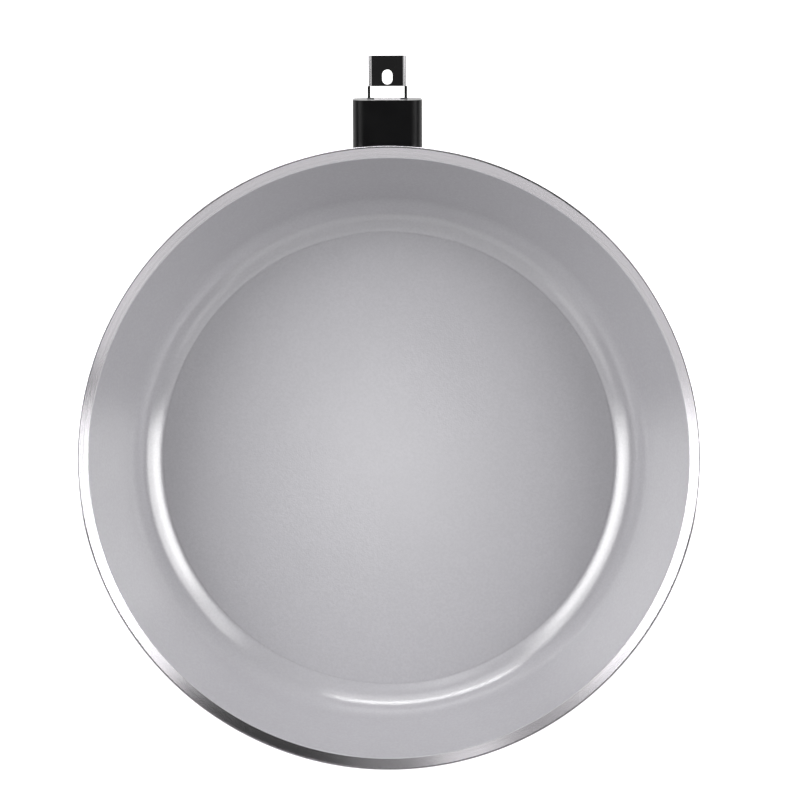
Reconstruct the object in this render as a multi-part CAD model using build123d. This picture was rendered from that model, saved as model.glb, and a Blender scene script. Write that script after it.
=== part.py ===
from build123d import *
from math import asin, atan2, cos, degrees, hypot, pi, radians, sin, tan
import os

# A round frying pan of forged aluminium with a ceramic coated inside, a steel disc in its
# underside, and a short stub that takes a separate handle: a moulded sleeve round a steel
# tongue with a latch hole. Millimetres. The origin is the centre of the underside, +Z is up
# and the stub points along +Y.

# Rim and bowl
rim_radius = 140.0
pan_height = 56.0
lip_width = 1.0
lip_radius = 0.6
lip_step = 0.3
band_width = 4.0
band_slope = 18.0
bead_height = 4.0
bead_underside_drop = 2.6
wall = 3.2
coating = 0.4

# Cooking floor
floor_thickness = 5.0
floor_radius = 104.7
floor_step = 0.25
floor_step_width = 1.0
crease_slope = 18.0
inner_fillet = 24.0

# Underside
base_fillet = 14.0
disc_radius = 95.0
disc_thickness = 0.8
disc_clearance = 0.1
disc_hole_radius = 2.5
disc_first_ring = 22.0
disc_ring_pitch = 15.5
disc_hole_pitch = 16.0
disc_edge_margin = 8.0
peg_clearance = 0.1

# Stub: its axis leaves the wall below the rim and rises outward, and zero is the sleeve's front
stub_tilt = 11.0
stub_drop = 16.9
sleeve_length = 30.9
sleeve_width = 31.4
sleeve_height = 20.0
sleeve_corner = 5.5
sleeve_edge = 0.4
sleeve_gap = 0.3
socket_clearance = 0.2
web_front = -14.0
web_thickness = 3.0

# Boss that is welded to the wall
boss_width = 20.0
boss_height = 13.0
boss_corner = 5.5
boss_clearance = 0.3
boss_bore_depth = 12.0

# Steel tongue
tongue_width = 17.8
tongue_height = 12.0
tongue_top = 5.5
tongue_reach = 19.7
sheet = 1.2
tongue_bend = 2.2
tongue_nose = 3.0
window_back = 0.0
window_end = 6.1
tab_width = 11.8
tab_drop = 3.6
tab_front = 1.0
tab_bend = 2.2
tab_root = 2.0
latch_width = 4.7
latch_length = 6.65
latch_centre = 10.15

# Screw and washers
screw_drop = 1.2
screw_radius = 2.45
screw_length = 16.0
screw_clearance = 0.25
screw_head_radius = 4.6
screw_head_height = 3.2
screw_head_edge = 1.2
cross_length = 5.0
cross_width = 1.1
cross_depth = 1.8
flat_washer_radius = 5.0
flat_washer_thickness = 1.0
spring_washer_radius = 4.4
spring_washer_thickness = 1.2
spring_washer_split = 1.0

# Worked out from the sizes above
band_outer_radius = rim_radius - lip_width
lip_centre_radius = rim_radius - lip_radius
band_inner_radius = band_outer_radius - band_width
band_top = pan_height - lip_step
bowl_top = band_top - band_width * tan(radians(band_slope))
trough_radius = floor_radius + floor_step_width
trough_height = floor_thickness - floor_step
fillet_centre_radius = trough_radius - inner_fillet * sin(radians(crease_slope))
fillet_centre_height = trough_height + inner_fillet * cos(radians(crease_slope))
web_back = web_front - web_thickness


def wall_slope():
    """Slope of the straight wall: bare, it runs from the inner fillet to the band's edge."""
    run = band_inner_radius - fillet_centre_radius
    rise = bowl_top - fillet_centre_height
    return degrees(atan2(rise, run) + asin((inner_fillet + coating) / hypot(rise, run)))


slope = wall_slope()
slope_sin = sin(radians(slope))
slope_tan = tan(radians(slope))
bowl_radius = band_inner_radius - coating / slope_sin


def wall_radius(height, skin):
    """Radius of the straight wall at a height, a skin's thickness out from the bowl."""
    return bowl_radius + skin / slope_sin - (bowl_top - height) / slope_tan


stub_axis = Vector(0, cos(radians(stub_tilt)), sin(radians(stub_tilt)))
stub_height = pan_height - stub_drop
stub_root = Vector(0, wall_radius(stub_height, wall), stub_height)
stub = Plane(origin=stub_root + stub_axis * sleeve_length, x_dir=(-1, 0, 0), z_dir=stub_axis)


def at(radius, height):
    """A point of a half section."""
    return (radius, 0, height)


def on_circle(centre, radius, angle):
    """A point of a half section on a circle, by its angle from the way outward."""
    across = centre[0] + radius * cos(radians(angle))
    return at(across, centre[1] + radius * sin(radians(angle)))


def bowl_line(depth):
    """The bowl's surface from the axis to the rim, sunk into the metal by a depth."""
    high = floor_thickness - depth
    centre = (fillet_centre_radius, fillet_centre_height)
    radius = inner_fillet + depth
    start = on_circle(centre, radius, crease_slope - 90)
    middle = on_circle(centre, radius, (crease_slope + slope) / 2 - 90)
    end = on_circle(centre, radius, slope - 90)
    step_middle = at((floor_radius + start[0]) / 2, (high + start[2]) / 2)
    floor = Line(at(0, high), at(floor_radius, high))
    fall = Spline(
        [at(floor_radius, high), step_middle, start],
        tangents=[(1, 0, 0), (1, 0, 0)],
    )
    fillet_arc = ThreePointArc(start, middle, end)
    side = Line(end, at(bowl_radius + depth / slope_sin, bowl_top))
    return [floor, fall, fillet_arc, side]


def outside_line(grow):
    """The outside from the underside's edge to the lip, grown outward by a gap."""
    radius = base_fillet + grow
    flat_radius = wall_radius(0, wall) - base_fillet * tan(radians(slope / 2))
    centre = (flat_radius, base_fillet)
    start = on_circle(centre, radius, -90)
    middle = on_circle(centre, radius, (slope - 180) / 2)
    end = on_circle(centre, radius, slope - 90)
    bead_low = pan_height - bead_height - grow
    neck_height = bead_low - bead_underside_drop
    neck = at(wall_radius(neck_height, wall + grow), neck_height)
    bead_corner = at(rim_radius + grow, bead_low)
    bead_middle_radius = (neck[0] + 2 * bead_corner[0]) / 3
    bead_middle = at(bead_middle_radius, (2 * neck_height + bead_low) / 3)
    lip_centre = (lip_centre_radius, pan_height - lip_radius)
    lip_start = on_circle(lip_centre, lip_radius + grow, 0)
    lip_middle = on_circle(lip_centre, lip_radius + grow, 45)
    lip_end = on_circle(lip_centre, lip_radius + grow, 90)
    return [
        ThreePointArc(start, middle, end),
        Line(end, neck),
        ThreePointArc(neck, bead_middle, bead_corner),
        Line(bead_corner, lip_start),
        ThreePointArc(lip_start, lip_middle, lip_end),
    ]


def turned(lines):
    """The solid that a closed half section sweeps round the pan's axis."""
    edges = [edge for line in lines for edge in line.edges()]
    return revolve(make_face(edges), Axis.Z, 360)


def joined(lines, closing_points):
    """A list of lines with straight runs added through the closing points."""
    first = lines[0] @ 0
    last = lines[-1] @ 1
    return lines + [Polyline(last, *closing_points, first)]


def disc_hole_places():
    """Centres of the disc's holes, on rings that fill it to its edge."""
    places = []
    ring = disc_first_ring
    while ring < disc_radius - disc_edge_margin:
        count = round(2 * pi * ring / disc_hole_pitch)
        places += [Pos(p.X, p.Y) for p in (loc.position for loc in PolarLocations(ring, count))]
        ring += disc_ring_pitch
    return places


def solid_pan(grow):
    """The pan filled to its top, grown outward by a gap."""
    lines = outside_line(grow)
    top = (lines[-1] @ 1).Z
    return turned(joined(lines, [at(0, top), at(0, -grow)]))


def pan_body():
    outside = outside_line(0)
    inside = bowl_line(coating)
    recess = disc_radius + disc_clearance
    lines = outside + [
        Polyline(
            at(lip_centre_radius, pan_height),
            at(band_outer_radius, pan_height),
            at(band_outer_radius, band_top),
            inside[-1] @ 1,
        )
    ]
    lines += inside
    lines.append(
        Polyline(
            at(0, floor_thickness - coating),
            at(0, disc_thickness),
            at(recess, disc_thickness),
            at(recess, 0),
            outside[0] @ 0,
        )
    )
    body = turned(lines)
    peg = Cylinder(
        disc_hole_radius - peg_clearance,
        disc_thickness,
        align=(Align.CENTER, Align.CENTER, Align.MIN),
    )
    return body + [place * peg for place in disc_hole_places()]


def ceramic_coating():
    surface = bowl_line(0)
    under = bowl_line(coating)
    lines = surface + [Line(surface[-1] @ 1, under[-1] @ 1)]
    lines += under
    lines.append(Line(under[0] @ 0, surface[0] @ 0))
    return turned(lines)


def induction_disc():
    low = (Align.CENTER, Align.CENTER, Align.MIN)
    disc = Cylinder(disc_radius, disc_thickness, align=low)
    hole = Cylinder(disc_hole_radius, disc_thickness, align=low)
    return disc - [place * hole for place in disc_hole_places()]


def block(width, height, corner, back, front):
    """A bar along the stub with rounded long edges, in the stub's own frame."""
    section = RectangleRounded(width, height, corner)
    return extrude(Plane.XY.offset(back) * section, front - back)


def rod(radius, back, front):
    """A round bar on the screw's axis, just under the stub's, in the stub's own frame."""
    return extrude(Pos(0, -screw_drop, back) * Circle(radius), front - back)


def wall_side():
    """How far back the stub's parts start, inside the pan, before they are cut to it."""
    return -2 * sleeve_length


def handle_boss():
    body = block(boss_width, boss_height, boss_corner, wall_side(), web_back)
    bore = rod(screw_radius + screw_clearance, web_back - boss_bore_depth, web_back)
    return stub * (body - bore) - solid_pan(0)


def handle_sleeve():
    body = block(sleeve_width, sleeve_height, sleeve_corner, wall_side(), 0)
    body = fillet(body.faces().sort_by(Axis.Z)[-1].edges(), sleeve_edge)
    room = socket_clearance
    socket_top = tongue_top + room
    socket_low = tongue_top - tongue_height - room
    socket = Box(
        tongue_width + 2 * room,
        socket_top - socket_low,
        -web_front,
        align=(Align.CENTER, Align.MAX, Align.MIN),
    )
    socket = Pos(0, socket_top, web_front) * socket
    long_edges = socket.edges().filter_by(Axis.Z).sort_by(Axis.Y)[-2:]
    socket = fillet(long_edges, tongue_bend)
    boss_room = block(
        boss_width + 2 * boss_clearance,
        boss_height + 2 * boss_clearance,
        boss_corner + boss_clearance,
        wall_side(),
        web_back,
    )
    screw_way = rod(screw_radius + screw_clearance, web_back, web_front)
    body = body - socket - boss_room - screw_way
    sleeve = stub * body - solid_pan(sleeve_gap)
    return sleeve.solids().sort_by(Axis.Y)[-1]


def tongue_block(inset, back, front):
    """The tongue's bar, drawn in by a thickness, with both upper long edges rounded."""
    bar = Box(
        tongue_width - 2 * inset,
        tongue_height,
        front - back,
        align=(Align.CENTER, Align.MAX, Align.MIN),
    )
    bar = Pos(0, tongue_top - inset, back) * bar
    upper = bar.edges().filter_by(Axis.Z).sort_by(Axis.Y)[-2:]
    return fillet(upper, tongue_bend - inset)


def tongue_window():
    """The gap behind the tab, cut down past both bends."""
    cut = Box(
        2 * tongue_width,
        2 * tongue_bend,
        window_end - window_back,
        align=(Align.CENTER, Align.CENTER, Align.MIN),
    )
    return Pos(0, tongue_top, window_back) * cut


def tab_block(inset):
    """The tab's bar, drawn in by a thickness, with its upper front edge rounded."""
    bar = Box(
        tab_width,
        tab_drop,
        tab_front + tab_root - inset,
        align=(Align.CENTER, Align.MAX, Align.MIN),
    )
    bar = Pos(0, tongue_top - inset, -tab_root) * bar
    front_top = bar.edges().filter_by(Axis.X).sort_by(Axis.Y)[-2:].sort_by(Axis.Z)[-1]
    return fillet(front_top, tab_bend - inset)


def stop_tab():
    """The tab that is bent down at the sleeve's mouth and leaves the screw's middle free."""
    return tab_block(0) - tab_block(sheet)


def handle_bracket():
    outer = tongue_block(0, web_front, tongue_reach)
    inner = tongue_block(sheet, web_front + sheet, tongue_reach)
    body = outer - inner
    tip_edges = body.edges().filter_by(Axis.X).group_by(Axis.Z)[-1]
    body = fillet(tip_edges.group_by(Axis.Y)[0], tongue_nose)
    body = body - tongue_window()
    latch = Plane.XZ * SlotOverall(latch_length, latch_width, rotation=90)
    latch = extrude(latch, tongue_height, both=True)
    latch_top = Pos(0, tongue_top + tongue_height - 2 * sheet, latch_centre) * latch
    body = body - latch_top + stop_tab()
    body = body - rod(screw_radius + screw_clearance, web_front, web_front + sheet)
    return stub * body


def washer(radius, bore_radius, back, thickness):
    """A flat ring on the screw's axis, in the stub's own frame."""
    return rod(radius, back, back + thickness) - rod(bore_radius, back, back + thickness)


flat_washer_back = web_front + sheet
spring_washer_back = flat_washer_back + flat_washer_thickness
head_back = spring_washer_back + spring_washer_thickness
washer_bore = screw_radius + screw_clearance


def flat_washer():
    return stub * washer(flat_washer_radius, washer_bore, flat_washer_back, flat_washer_thickness)


def spring_washer():
    ring = washer(spring_washer_radius, washer_bore, spring_washer_back, spring_washer_thickness)
    split = Box(
        spring_washer_split,
        spring_washer_radius,
        spring_washer_thickness,
        align=(Align.CENTER, Align.MIN, Align.MIN),
    )
    return stub * (ring - Pos(0, -screw_drop, spring_washer_back) * split)


def bracket_screw():
    head = rod(screw_head_radius, head_back, head_back + screw_head_height)
    rim = head.edges().filter_by(GeomType.CIRCLE).sort_by(Axis.Z)[-1]
    head = fillet(rim, screw_head_edge)
    face = head_back + screw_head_height
    bar = Box(cross_length, cross_width, cross_depth, align=(Align.CENTER, Align.CENTER, Align.MAX))
    cross = Pos(0, -screw_drop, face) * (bar + Rot(0, 0, 90) * bar)
    shank = rod(screw_radius, head_back - screw_length, head_back)
    return stub * (head - cross + shank)


pieces = {
    "pan_body": pan_body,
    "ceramic_coating": ceramic_coating,
    "induction_disc": induction_disc,
    "handle_boss": handle_boss,
    "handle_sleeve": handle_sleeve,
    "handle_bracket": handle_bracket,
    "bracket_screw": bracket_screw,
    "flat_washer": flat_washer,
    "spring_washer": spring_washer,
}

os.makedirs("parts", exist_ok=True)
for name, make in pieces.items():
    export_step(make(), f"parts/{name}.step")
print("wall slope", round(slope, 2), "degrees")
print("sleeve front", [round(value, 3) for value in stub.origin])
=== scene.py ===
from math import asin, atan2, cos, degrees, hypot, pi, radians, sin, tan

import bmesh
import bpy
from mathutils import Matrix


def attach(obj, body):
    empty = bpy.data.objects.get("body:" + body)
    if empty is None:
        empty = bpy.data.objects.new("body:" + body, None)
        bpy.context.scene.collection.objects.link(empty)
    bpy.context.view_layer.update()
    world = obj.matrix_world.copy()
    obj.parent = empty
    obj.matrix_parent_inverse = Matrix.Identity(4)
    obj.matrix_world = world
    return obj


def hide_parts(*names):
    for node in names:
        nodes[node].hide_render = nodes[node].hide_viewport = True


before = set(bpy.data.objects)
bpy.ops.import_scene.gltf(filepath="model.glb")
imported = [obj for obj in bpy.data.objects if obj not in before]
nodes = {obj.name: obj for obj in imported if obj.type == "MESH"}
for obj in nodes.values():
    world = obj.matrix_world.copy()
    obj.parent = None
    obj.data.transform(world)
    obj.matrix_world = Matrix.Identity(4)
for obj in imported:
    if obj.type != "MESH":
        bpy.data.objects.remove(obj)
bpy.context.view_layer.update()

# A frying pan seen from straight above, on a white floor in a soft studio. Metres.
# The origin is the centre of the underside, +Z is up and the handle stub points along +Y.

scene = bpy.context.scene

# Sizes of the pan's half section, the same as the solids'
RIM_RADIUS = 0.140
PAN_HEIGHT = 0.056
LIP_WIDTH = 0.001
LIP_RADIUS = 0.0006
LIP_STEP = 0.0003
BAND_WIDTH = 0.004
BAND_SLOPE = 18.0
BEAD_HEIGHT = 0.004
BEAD_UNDERSIDE_DROP = 0.0026
BEAD_EDGE = 0.0006
BEAD_EDGE_RISE = 0.0004
WALL = 0.0032
COATING = 0.0004
FLOOR_THICKNESS = 0.005
FLOOR_RADIUS = 0.1047
FLOOR_STEP = 0.00025
FLOOR_STEP_WIDTH = 0.001
CREASE_SLOPE = 18.0
INNER_FILLET = 0.024
BASE_FILLET = 0.014
DISC_RECESS_RADIUS = 0.0951
DISC_THICKNESS = 0.0008
PEG_RADIUS = 0.0024
PEG_FIRST_RING = 0.022
PEG_RING_PITCH = 0.0155
PEG_PITCH = 0.016
PEG_LAST_RING = 0.087
PEG_SIDES = 24
PEG_SHOULDER = 0.00012
PEG_TOP = 0.00002
PEG_TOP_SHARE = 0.93

# The photograph's frame
PHOTO_WIDTH = 800
PHOTO_CENTRE = (388.9, 458.0)
RIM_PIXELS = 312.4
CAMERA_HEIGHT = 1.2
SENSOR_WIDTH = 36.0
STUB_LEAN = 0.24

# Fineness of the turned pieces
TURNS = 512
WELD_DISTANCE = 1e-6
TURNED_CREASE = 24

# The studio: levels, and angles in degrees from +X and up from the horizon
ROOM_LEVEL = 0.02
OVERHEAD_LEVEL = 2.6
OVERHEAD_CENTRE = (-sin(radians(0.35)), 0.0, 1.0)
OVERHEAD_SCALE = (1 / sin(radians(3.3)), 1 / sin(radians(5.4)), 0.0)
LIGHTS = [
    dict(name="right_main", level=4.37, azimuth=11, half_width=20, low=22, high=52),
    dict(name="right_core", level=3.04, azimuth=12, half_width=22, low=36, high=54),
    dict(name="right_inner", level=2.47, azimuth=40, half_width=9, low=24, high=52),
    dict(name="right_top", level=1.32, azimuth=29, half_width=16, low=52, high=64),
    dict(name="right_top_outer", level=0.12, azimuth=358, half_width=15, low=52, high=64),
    dict(name="left_main", level=4.08, azimuth=170, half_width=20, low=26, high=52),
    dict(name="left_core", level=3.04, azimuth=160, half_width=25, low=36, high=54),
    dict(name="left_inner", level=3.04, azimuth=139, half_width=11, low=24, high=50),
    dict(name="upper_left", level=0.90, azimuth=183, half_width=38, low=52, high=64),
    dict(name="upper_middle", level=0.91, azimuth=270, half_width=49, low=52, high=64),
    dict(name="upper_right", level=1.07, azimuth=331, half_width=12, low=52, high=64),
    dict(name="upper_far", level=0.52, azimuth=135, half_width=10, low=52, high=64),
    dict(name="upper_gap", level=0.49, azimuth=118, half_width=7, low=52, high=64),
    dict(name="upper_strip", level=1.10, azimuth=105, half_width=6, low=42, high=64),
    dict(name="upper_grey", level=0.23, azimuth=91, half_width=8, low=42, high=64),
    dict(name="far_strip", level=8.57, azimuth=99, half_width=22, low=11, high=16, soft=1.5),
    dict(name="far_rim", level=3.42, azimuth=95, half_width=26, low=7, high=10, soft=1.0),
    dict(name="far_low", level=1.36, azimuth=105, half_width=30, low=18, high=30),
    dict(name="near_low", level=0.74, azimuth=262, half_width=50, low=14, high=32),
    dict(name="near_left", level=1.21, azimuth=213, half_width=14, low=32, high=46),
    dict(name="near_middle", level=0.48, azimuth=266, half_width=39, low=34, high=50),
    dict(name="near_right", level=0.79, azimuth=322, half_width=12, low=32, high=46),
]

# The floor
FLOOR_HALF = 4.0
FLOOR_COLOUR = 0.8
FLOOR_GLOW = 0.62

BAND_OUTER = RIM_RADIUS - LIP_WIDTH
BAND_INNER = BAND_OUTER - BAND_WIDTH
BAND_TOP = PAN_HEIGHT - LIP_STEP
BOWL_TOP = BAND_TOP - BAND_WIDTH * tan(radians(BAND_SLOPE))
TROUGH_RADIUS = FLOOR_RADIUS + FLOOR_STEP_WIDTH
TROUGH_HEIGHT = FLOOR_THICKNESS - FLOOR_STEP
FILLET_CENTRE = (TROUGH_RADIUS - INNER_FILLET * sin(radians(CREASE_SLOPE)),
                 TROUGH_HEIGHT + INNER_FILLET * cos(radians(CREASE_SLOPE)))


def wall_slope():
    """Slope of the straight wall, as the solids have it."""
    run = BAND_INNER - FILLET_CENTRE[0]
    rise = BOWL_TOP - FILLET_CENTRE[1]
    return degrees(atan2(rise, run) + asin((INNER_FILLET + COATING) / hypot(rise, run)))


SLOPE = wall_slope()
SLOPE_SIN = sin(radians(SLOPE))
SLOPE_TAN = tan(radians(SLOPE))
BOWL_RADIUS = BAND_INNER - COATING / SLOPE_SIN


def wall_radius(height, skin):
    """Radius of the straight wall at a height, a skin's thickness out from the bowl."""
    return BOWL_RADIUS + skin / SLOPE_SIN - (BOWL_TOP - height) / SLOPE_TAN


def arc(centre, radius, start, end, count):
    """Points along an arc of a half section, by angles in degrees from the way outward."""
    points = []
    for i in range(count + 1):
        angle = radians(start + (end - start) * i / count)
        points.append((centre[0] + radius * cos(angle), centre[1] + radius * sin(angle)))
    return points


def eased(start, end, count):
    """Points of a soft step from one level to another, flat at both ends."""
    points = []
    for i in range(1, count + 1):
        t = i / count
        level = start[1] + (end[1] - start[1]) * t * t * (3 - 2 * t)
        points.append((start[0] + (end[0] - start[0]) * t, level))
    return points


def bowl_points(depth):
    """The bowl's surface from the axis to the rim, sunk into the metal by a depth."""
    edge = (FLOOR_RADIUS, FLOOR_THICKNESS - depth)
    fillet = arc(FILLET_CENTRE, INNER_FILLET + depth, CREASE_SLOPE - 90, SLOPE - 90, 32)
    points = [(0.0, FLOOR_THICKNESS - depth), edge]
    points += eased(edge, fillet[0], 8)
    points += fillet[1:]
    points.append((BOWL_RADIUS + depth / SLOPE_SIN, BOWL_TOP))
    return points


def bead_neck():
    """Where the rim's rolled bead meets the outside of the wall."""
    height = PAN_HEIGHT - BEAD_HEIGHT - BEAD_UNDERSIDE_DROP
    return (wall_radius(height, WALL), height)


def lip_points():
    """The lip from its inner edge over the bead to its neck."""
    lip_centre = (RIM_RADIUS - LIP_RADIUS, PAN_HEIGHT - LIP_RADIUS)
    edge_centre = (RIM_RADIUS - BEAD_EDGE, PAN_HEIGHT - BEAD_HEIGHT + BEAD_EDGE_RISE)
    points = [(BAND_OUTER, BAND_TOP), (BAND_OUTER, PAN_HEIGHT)]
    points += arc(lip_centre, LIP_RADIUS, 90, 0, 12)
    points += arc(edge_centre, BEAD_EDGE, 0, -50, 6)
    points.append(bead_neck())
    return points


def outside_points():
    """The outside from the bead's neck down to the edge of the underside."""
    flat_radius = wall_radius(0, WALL) - BASE_FILLET * tan(radians(SLOPE / 2))
    base = arc((flat_radius, BASE_FILLET), BASE_FILLET, SLOPE - 90, -90, 32)
    return [bead_neck()] + base


def spin(name, sections, materials):
    """A piece turned round the pan's axis from open half sections, one material each."""
    verts = []
    faces = []
    face_materials = []
    for index, points in enumerate(sections):
        rings = []
        for radius, height in points:
            if radius == 0.0:
                rings.append([len(verts)] * TURNS)
                verts.append((0.0, 0.0, height))
                continue
            rings.append(list(range(len(verts), len(verts) + TURNS)))
            for i in range(TURNS):
                angle = 2 * pi * i / TURNS
                verts.append((radius * cos(angle), radius * sin(angle), height))
        for low, high in zip(rings, rings[1:]):
            for i in range(TURNS):
                j = (i + 1) % TURNS
                corners = [low[i], low[j], high[j], high[i]]
                faces.append(list(dict.fromkeys(corners)))
                face_materials.append(index)
    mesh = bpy.data.meshes.new(name)
    mesh.from_pydata(verts, [], faces)
    mesh.update()
    piece = bpy.data.objects.new(name, mesh)
    scene.collection.objects.link(piece)
    for material in materials:
        mesh.materials.append(material)
    mesh.polygons.foreach_set("material_index", face_materials)
    weld(piece)
    return piece


def weld(piece):
    """Joins the doubled rings of a turned piece, turns its faces outward and smooths it."""
    bm = bmesh.new()
    bm.from_mesh(piece.data)
    bmesh.ops.remove_doubles(bm, verts=bm.verts, dist=WELD_DISTANCE)
    bmesh.ops.recalc_face_normals(bm, faces=bm.faces)
    bm.to_mesh(piece.data)
    bm.free()
    smooth(piece, TURNED_CREASE)


def smooth(piece, angle):
    """Shades a piece smooth, with a crease wherever it turns by more than an angle."""
    piece.data.shade_smooth()
    piece.data.set_sharp_from_angle(angle=radians(angle))


class Nodes:
    """Makes nodes in a material's or the world's tree and links them."""

    def __init__(self, owner):
        owner.use_nodes = True
        self.tree = owner.node_tree
        self.tree.nodes.clear()

    def add(self, kind, inputs=None, **settings):
        """A node with settings, and with inputs given as values or as sockets to link."""
        node = self.tree.nodes.new(kind)
        for name, value in settings.items():
            setattr(node, name, value)
        for key, value in (inputs or {}).items():
            socket = node.inputs[key]
            if isinstance(value, bpy.types.NodeSocket):
                self.tree.links.new(value, socket)
            else:
                socket.default_value = value
        return node

    def math(self, operation, first, second=0.0):
        inputs = {0: first, 1: second}
        return self.add("ShaderNodeMath", inputs, operation=operation).outputs[0]

    def ramp(self, value, low, high, out_low=0.0, out_high=1.0):
        """Value eased from one range to another."""
        inputs = {"Value": value, "From Min": low, "From Max": high,
                  "To Min": out_low, "To Max": out_high}
        node = self.add("ShaderNodeMapRange", inputs, interpolation_type="SMOOTHSTEP")
        return node.outputs["Result"]

    def noise(self, vector, scale, detail=2.0, roughness=0.5):
        inputs = {"Vector": vector, "Scale": scale, "Detail": detail, "Roughness": roughness}
        return self.add("ShaderNodeTexNoise", inputs).outputs["Fac"]

    def mix(self, factor, first, second):
        """A colour between two colours."""
        node = self.add("ShaderNodeMix", data_type="RGBA")
        for socket, value in zip((node.inputs[0], node.inputs[6], node.inputs[7]),
                                 (factor, first, second)):
            if isinstance(value, bpy.types.NodeSocket):
                self.tree.links.new(value, socket)
            else:
                socket.default_value = value
        return node.outputs[2]

    def bump(self, height, strength, distance):
        inputs = {"Height": height, "Strength": strength, "Distance": distance}
        return self.add("ShaderNodeBump", inputs).outputs["Normal"]

    def places(self):
        """The surface's own coordinates, in metres."""
        return self.add("ShaderNodeTexCoord").outputs["Object"]

    def radius(self, places):
        """Distance from the pan's axis, as a vector for a noise of rings."""
        flat = self.add("ShaderNodeVectorMath", {0: places, 1: (1.0, 1.0, 0.0)},
                        operation="MULTIPLY").outputs[0]
        length = self.add("ShaderNodeVectorMath", {0: flat}, operation="LENGTH")
        return self.add("ShaderNodeCombineXYZ", {"X": length.outputs["Value"]}).outputs[0]

    def surface(self, shader):
        self.add("ShaderNodeOutputMaterial", {"Surface": shader})


def grey(level, lilac=0.0):
    """A near neutral colour, with a little lilac in it."""
    return (level * (1 + lilac / 2), level * (1 - lilac / 2), level * (1 + lilac), 1.0)


def ceramic_coating():
    """Light grey sprayed ceramic: glossy, with an orange peel and a fine mineral speckle."""
    material = bpy.data.materials.new("ceramic_coating")
    n = Nodes(material)
    places = n.places()
    cloud = n.noise(places, 60.0, 4.0, 0.6)
    speck = n.noise(places, 900.0, 3.0, 0.6)
    speckled = n.mix(n.ramp(speck, 0.35, 0.65), (0.423, 0.416, 0.440, 1), (0.452, 0.445, 0.470, 1))
    colour = n.mix(n.ramp(cloud, 0.3, 0.7, 0.0, 0.35), speckled, (0.417, 0.411, 0.434, 1))
    peel = n.noise(places, 620.0, 2.0)
    grit = n.noise(places, 1700.0, 2.0)
    height = n.math("ADD", n.math("MULTIPLY", peel, 0.6), grit)
    rough = n.ramp(n.noise(places, 900.0, 2.0), 0.3, 0.7, 0.07, 0.12)
    shader = n.add("ShaderNodeBsdfPrincipled", {
        "Base Color": colour, "Roughness": rough, "IOR": 1.88,
        "Normal": n.bump(height, 0.42, 0.0001)})
    n.surface(shader.outputs[0])
    return material


def ringed_metal(name, level, low, high, anisotropy, ring_scale, ring_depth):
    """Metal with fine rings round the pan's axis, from turning or polishing."""
    material = bpy.data.materials.new(name)
    n = Nodes(material)
    places = n.places()
    rings = n.noise(n.radius(places), ring_scale, 4.0, 0.7)
    broad = n.noise(n.radius(places), ring_scale * 0.18, 2.0)
    colour = n.mix(rings, grey(level * 0.93, 0.03), grey(level, 0.03))
    blend = n.math("MULTIPLY", n.math("ADD", rings, broad), 0.5)
    tangent = n.add("ShaderNodeTangent", direction_type="RADIAL", axis="Z").outputs[0]
    shader = n.add("ShaderNodeBsdfPrincipled", {
        "Base Color": colour, "Metallic": 1.0, "Anisotropic": anisotropy,
        "Roughness": n.ramp(blend, 0.3, 0.7, low, high), "Tangent": tangent,
        "Anisotropic Rotation": 0.25,
        "Normal": n.bump(rings, 0.25, ring_depth)})
    n.surface(shader.outputs[0])
    return material


def plain_metal(name, level, low, high, lilac=0.01):
    """Polished or plated metal with faint smears and short scratches."""
    material = bpy.data.materials.new(name)
    n = Nodes(material)
    places = n.places()
    stretched = n.add("ShaderNodeMapping", {"Vector": places, "Scale": (1.0, 14.0, 1.0)})
    scratches = n.noise(stretched.outputs[0], 420.0, 5.0, 0.65)
    smear = n.noise(places, 90.0, 3.0)
    colour = n.mix(smear, grey(level * 0.95, lilac), grey(level, lilac))
    shader = n.add("ShaderNodeBsdfPrincipled", {
        "Base Color": colour, "Metallic": 1.0,
        "Roughness": n.ramp(n.math("MULTIPLY", scratches, smear), 0.1, 0.45, low, high),
        "Normal": n.bump(scratches, 0.05, 0.00001)})
    n.surface(shader.outputs[0])
    return material


def black_phenolic():
    """Black moulded phenolic: a satin skin with a very fine moulded grain."""
    material = bpy.data.materials.new("black_phenolic")
    n = Nodes(material)
    places = n.places()
    grain = n.noise(places, 3200.0, 2.0)
    flow = n.noise(places, 70.0, 3.0)
    colour = n.mix(flow, (0.0022, 0.0022, 0.0025, 1), (0.0032, 0.0032, 0.0035, 1))
    shader = n.add("ShaderNodeBsdfPrincipled", {
        "Base Color": colour, "IOR": 1.3,
        "Roughness": n.ramp(flow, 0.3, 0.7, 0.27, 0.33),
        "Normal": n.bump(grain, 0.35, 0.00004)})
    n.surface(shader.outputs[0])
    return material


def dress(node, material, angle=30):
    """Gives a carried-over solid its material and smooth shading."""
    piece = nodes[node]
    piece.data.materials.clear()
    piece.data.materials.append(material)
    smooth(piece, angle)


def own(piece, node):
    """Lets a piece stand for a solid and ride with it."""
    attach(piece, "root")
    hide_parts(node)


def coating_surface():
    piece = spin("coating_surface", [bowl_points(0.0) + bowl_points(COATING)[::-1]],
                 [ceramic_coating()])
    own(piece, "ceramic_coating")


def peg_places():
    """Centres of the metal studs that fill the steel disc's holes."""
    places = []
    ring = PEG_FIRST_RING
    while ring < PEG_LAST_RING:
        count = round(2 * pi * ring / PEG_PITCH)
        places += [(ring * cos(2 * pi * i / count), ring * sin(2 * pi * i / count))
                   for i in range(count)]
        ring += PEG_RING_PITCH
    return places


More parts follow.
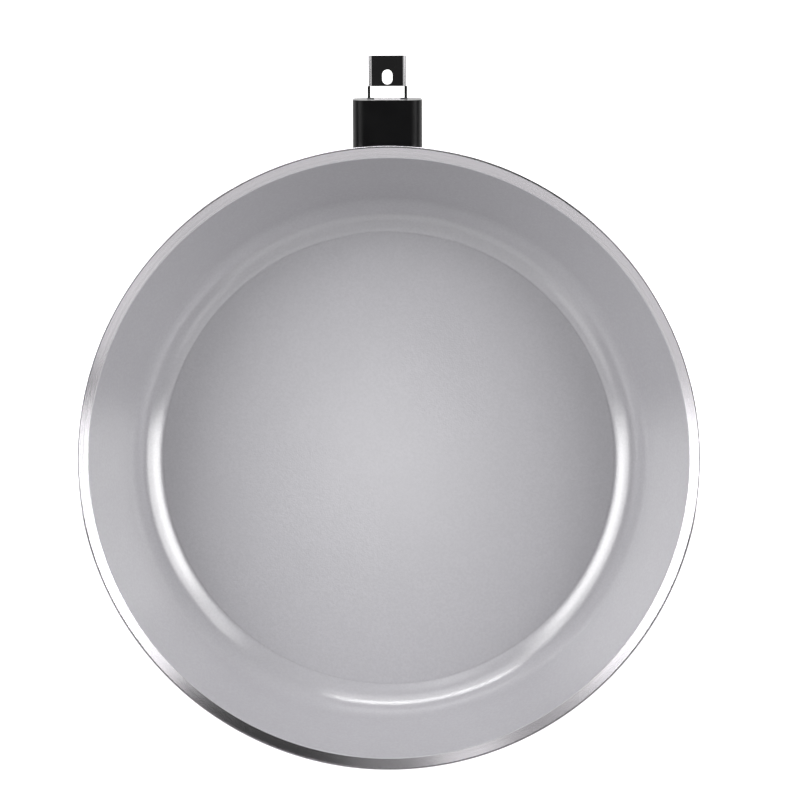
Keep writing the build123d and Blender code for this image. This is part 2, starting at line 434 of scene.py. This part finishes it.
def pan_shell():
    """The metal pan: turned band, polished lip, brushed outside, turned underside, studs."""
    inside = bowl_points(COATING)
    outside = outside_points()
    band = [inside[-1], (BAND_OUTER, BAND_TOP)]
    recess = [(0.0, DISC_THICKNESS), (DISC_RECESS_RADIUS, DISC_THICKNESS),
              (DISC_RECESS_RADIUS, 0.0), outside[-1]]
    turned = ringed_metal("turned_band", 0.93, 0.16, 0.26, 0.75, 5200.0, 0.00002)
    polished = ringed_metal("polished_lip", 0.88, 0.10, 0.17, 0.4, 1500.0, 0.00001)
    brushed = ringed_metal("brushed_outside", 0.38, 0.24, 0.40, 0.5, 900.0, 0.00003)
    base = ringed_metal("turned_base", 0.50, 0.24, 0.36, 0.7, 1800.0, 0.00004)
    sections = [band, lip_points(), outside, recess, inside]
    piece = spin("pan_shell", sections, [turned, polished, brushed, base, base])
    own(piece, "pan_body")
    studs = studs_piece(base)
    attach(studs, "root")


def studs_piece(material):
    """All the studs as one piece of short round pegs, slightly domed by the press."""
    verts = []
    faces = []
    sides = PEG_SIDES
    rings = [(PEG_RADIUS, DISC_THICKNESS), (PEG_RADIUS, PEG_SHOULDER),
             (PEG_RADIUS * PEG_TOP_SHARE, PEG_TOP)]
    for x, y in peg_places():
        first = len(verts)
        for radius, height in rings:
            for i in range(sides):
                angle = 2 * pi * i / sides
                verts.append((x + radius * cos(angle), y + radius * sin(angle), height))
        for ring in range(len(rings) - 1):
            for i in range(sides):
                j = (i + 1) % sides
                low = first + ring * sides
                faces.append((low + i, low + sides + i, low + sides + j, low + j))
        last = first + (len(rings) - 1) * sides
        faces.append(tuple(last + i for i in range(sides))[::-1])
        faces.append(tuple(first + i for i in range(sides)))
    mesh = bpy.data.meshes.new("disc_studs")
    mesh.from_pydata(verts, [], faces)
    mesh.update()
    piece = bpy.data.objects.new("disc_studs", mesh)
    scene.collection.objects.link(piece)
    mesh.materials.append(material)
    smooth(piece, TURNED_CREASE)
    return piece


def studio_world():
    """White to the camera, and to everything else a dark studio lit by softboxes."""
    world = bpy.data.worlds.new("studio")
    scene.world = world
    n = Nodes(world)
    way = n.add("ShaderNodeVectorMath", {0: n.add("ShaderNodeTexCoord").outputs["Generated"]},
                operation="NORMALIZE").outputs[0]
    rise = n.add("ShaderNodeSeparateXYZ", {0: way}).outputs["Z"]
    level = n.ramp(rise, -0.02, 0.02, 0.0, ROOM_LEVEL)
    for light in LIGHTS:
        level = n.math("ADD", level, softbox(n, way, rise, **light))
    level = n.math("ADD", level, overhead_light(n, way, rise))
    studio = n.add("ShaderNodeBackground", {"Color": grey(1.0), "Strength": level}).outputs[0]
    white = n.add("ShaderNodeBackground", {"Color": grey(1.0), "Strength": 1.0}).outputs[0]
    seen = n.add("ShaderNodeLightPath").outputs["Is Camera Ray"]
    shader = n.add("ShaderNodeMixShader", {0: seen, 1: studio, 2: white}).outputs[0]
    n.add("ShaderNodeOutputWorld", {"Surface": shader})


def softbox(n, way, rise, name, level, azimuth, half_width, low, high, soft=2.0):
    """The light of one softbox: a patch of sky between two azimuths and two elevations."""
    flat = n.add("ShaderNodeVectorMath", {0: way, 1: (1.0, 1.0, 0.0)}, operation="MULTIPLY")
    flat = n.add("ShaderNodeVectorMath", {0: flat.outputs[0]}, operation="NORMALIZE").outputs[0]
    heading = (cos(radians(azimuth)), sin(radians(azimuth)), 0.0)
    facing = n.add("ShaderNodeVectorMath", {0: flat, 1: heading}, operation="DOT_PRODUCT")
    inside = n.ramp(facing.outputs["Value"], cos(radians(half_width + soft)),
                    cos(radians(half_width - soft)))
    above = n.ramp(rise, sin(radians(low - soft)), sin(radians(low + soft)))
    below = n.ramp(rise, sin(radians(high - soft)), sin(radians(high + soft)), 1.0, 0.0)
    mask = n.math("MULTIPLY", n.math("MULTIPLY", inside, above), below)
    light = n.add("ShaderNodeMath", {0: mask, 1: level}, operation="MULTIPLY", name=name)
    return light.outputs[0]


def overhead_light(n, way, rise):
    """The light of the long panel overhead, around the camera."""
    apart = n.add("ShaderNodeVectorMath", {0: way, 1: OVERHEAD_CENTRE}, operation="SUBTRACT")
    scaled = n.add("ShaderNodeVectorMath", {0: apart.outputs[0], 1: OVERHEAD_SCALE},
                   operation="MULTIPLY")
    spread = n.add("ShaderNodeVectorMath", {0: scaled.outputs[0]}, operation="LENGTH")
    mask = n.ramp(spread.outputs["Value"], 0.4, 1.4, 1.0, 0.0)
    mask = n.math("MULTIPLY", mask, n.math("GREATER_THAN", rise, 0.0))
    light = n.add("ShaderNodeMath", {0: mask, 1: OVERHEAD_LEVEL}, operation="MULTIPLY",
                  name="overhead")
    return light.outputs[0]


def white_floor():
    """A white floor that the camera sees as white, with the object's shadow on it."""
    half = FLOOR_HALF
    mesh = bpy.data.meshes.new("floor")
    mesh.from_pydata([(-half, -half, 0), (half, -half, 0), (half, half, 0), (-half, half, 0)],
                     [], [(0, 1, 2, 3)])
    floor = bpy.data.objects.new("floor", mesh)
    scene.collection.objects.link(floor)
    material = bpy.data.materials.new("white_floor")
    n = Nodes(material)
    diffuse = n.add("ShaderNodeBsdfDiffuse", {"Color": grey(FLOOR_COLOUR)}).outputs[0]
    glow = n.add("ShaderNodeEmission", {"Color": grey(1.0), "Strength": FLOOR_GLOW}).outputs[0]
    both = n.add("ShaderNodeAddShader", {0: diffuse, 1: glow}).outputs[0]
    path = n.add("ShaderNodeLightPath").outputs
    seen = n.math("MAXIMUM", path["Is Camera Ray"], path["Is Glossy Ray"])
    seen = n.math("MAXIMUM", seen, path["Is Transmission Ray"])
    n.surface(n.add("ShaderNodeMixShader", {0: seen, 1: diffuse, 2: both}).outputs[0])
    mesh.materials.append(material)


def photo_camera():
    """Looks straight down the pan's axis, shifted so that the pan lies as photographed."""
    data = bpy.data.cameras.new("camera")
    camera = bpy.data.objects.new("camera", data)
    scene.collection.objects.link(camera)
    scene.camera = camera
    camera.location = (0.0, 0.0, PAN_HEIGHT + CAMERA_HEIGHT)
    camera.rotation_euler = (0.0, 0.0, -radians(STUB_LEAN))
    frame_width = PHOTO_WIDTH * RIM_RADIUS / RIM_PIXELS
    data.sensor_width = SENSOR_WIDTH
    data.lens = SENSOR_WIDTH * CAMERA_HEIGHT / frame_width
    data.shift_x = (PHOTO_WIDTH / 2 - PHOTO_CENTRE[0]) / PHOTO_WIDTH
    data.shift_y = (PHOTO_CENTRE[1] - PHOTO_WIDTH / 2) / PHOTO_WIDTH
    data.clip_start = 0.01
    data.clip_end = 50.0


photo_camera()
studio_world()
white_floor()
coating_surface()
pan_shell()
dress("handle_sleeve", black_phenolic())
dress("handle_bracket", plain_metal("polished_steel", 0.74, 0.03, 0.10))
dress("induction_disc", ringed_metal("brushed_base_steel", 0.60, 0.26, 0.38, 0.7, 2600.0, 0.00003))
dress("handle_boss", plain_metal("cast_aluminium", 0.66, 0.30, 0.45))
zinc = plain_metal("zinc_steel", 0.62, 0.22, 0.34)
for fastener in ("bracket_screw", "flat_washer", "spring_washer"):
    dress(fastener, zinc)

scene.view_settings.view_transform = "Standard"
